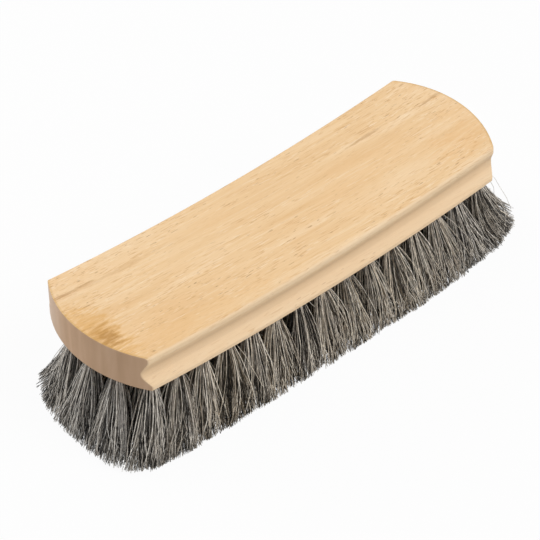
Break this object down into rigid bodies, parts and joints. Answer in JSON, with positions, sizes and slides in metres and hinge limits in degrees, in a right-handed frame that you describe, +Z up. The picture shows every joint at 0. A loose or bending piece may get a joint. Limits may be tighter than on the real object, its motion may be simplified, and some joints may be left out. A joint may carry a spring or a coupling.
{
  "type": "shoe shine brush",
  "caption": "Long hand brush with a bent beech block, a finger cove along each side, rounded ends and dense flared horsehair for polishing shoes.",
  "frame": {"origin": "on the ground under the middle of the brush, which stands on the trimmed tips of its hair", "axes": "+X along the block, +Y across it, +Z up from the hair tips to the top of the block"},
  "size_m": [0.1852, 0.0648, 0.0462],
  "materials": {
    "beech": "sanded and waxed to a satin",
    "horsehair": "mixed black, grey and pale hair, dry and slightly glossy",
    "anchor_metal": "plain cut strip"
  },
  "bodies": {
    "root": {"block": "beech", "tuft_rank_01": "horsehair", "tuft_rank_02": "horsehair", "tuft_rank_03": "horsehair", "tuft_rank_04": "horsehair", "tuft_rank_05": "horsehair", "tuft_rank_06": "horsehair", "tuft_rank_07": "horsehair", "tuft_rank_08": "horsehair", "tuft_rank_09": "horsehair", "tuft_rank_10": "horsehair", "tuft_rank_11": "horsehair", "tuft_rank_12": "horsehair", "tuft_rank_13": "horsehair", "tuft_rank_14": "horsehair", "tuft_rank_15": "horsehair", "tuft_rank_16": "horsehair", "tuft_rank_17": "horsehair", "tuft_rank_18": "horsehair", "tuft_rank_19": "horsehair", "tuft_rank_20": "horsehair", "tuft_rank_21": "horsehair", "tuft_rank_22": "horsehair", "tuft_rank_23": "horsehair", "tuft_rank_24": "horsehair", "tuft_rank_25": "horsehair", "tuft_rank_26": "horsehair", "tuft_rank_27": "horsehair", "tuft_rank_28": "horsehair", "tuft_rank_29": "horsehair", "tuft_rank_30": "horsehair", "tuft_rank_31": "horsehair", "anchor_row_1": "anchor_metal", "anchor_row_2": "anchor_metal", "anchor_row_3": "anchor_metal", "anchor_row_4": "anchor_metal", "anchor_row_5": "anchor_metal"}
  },
  "joints": []
}
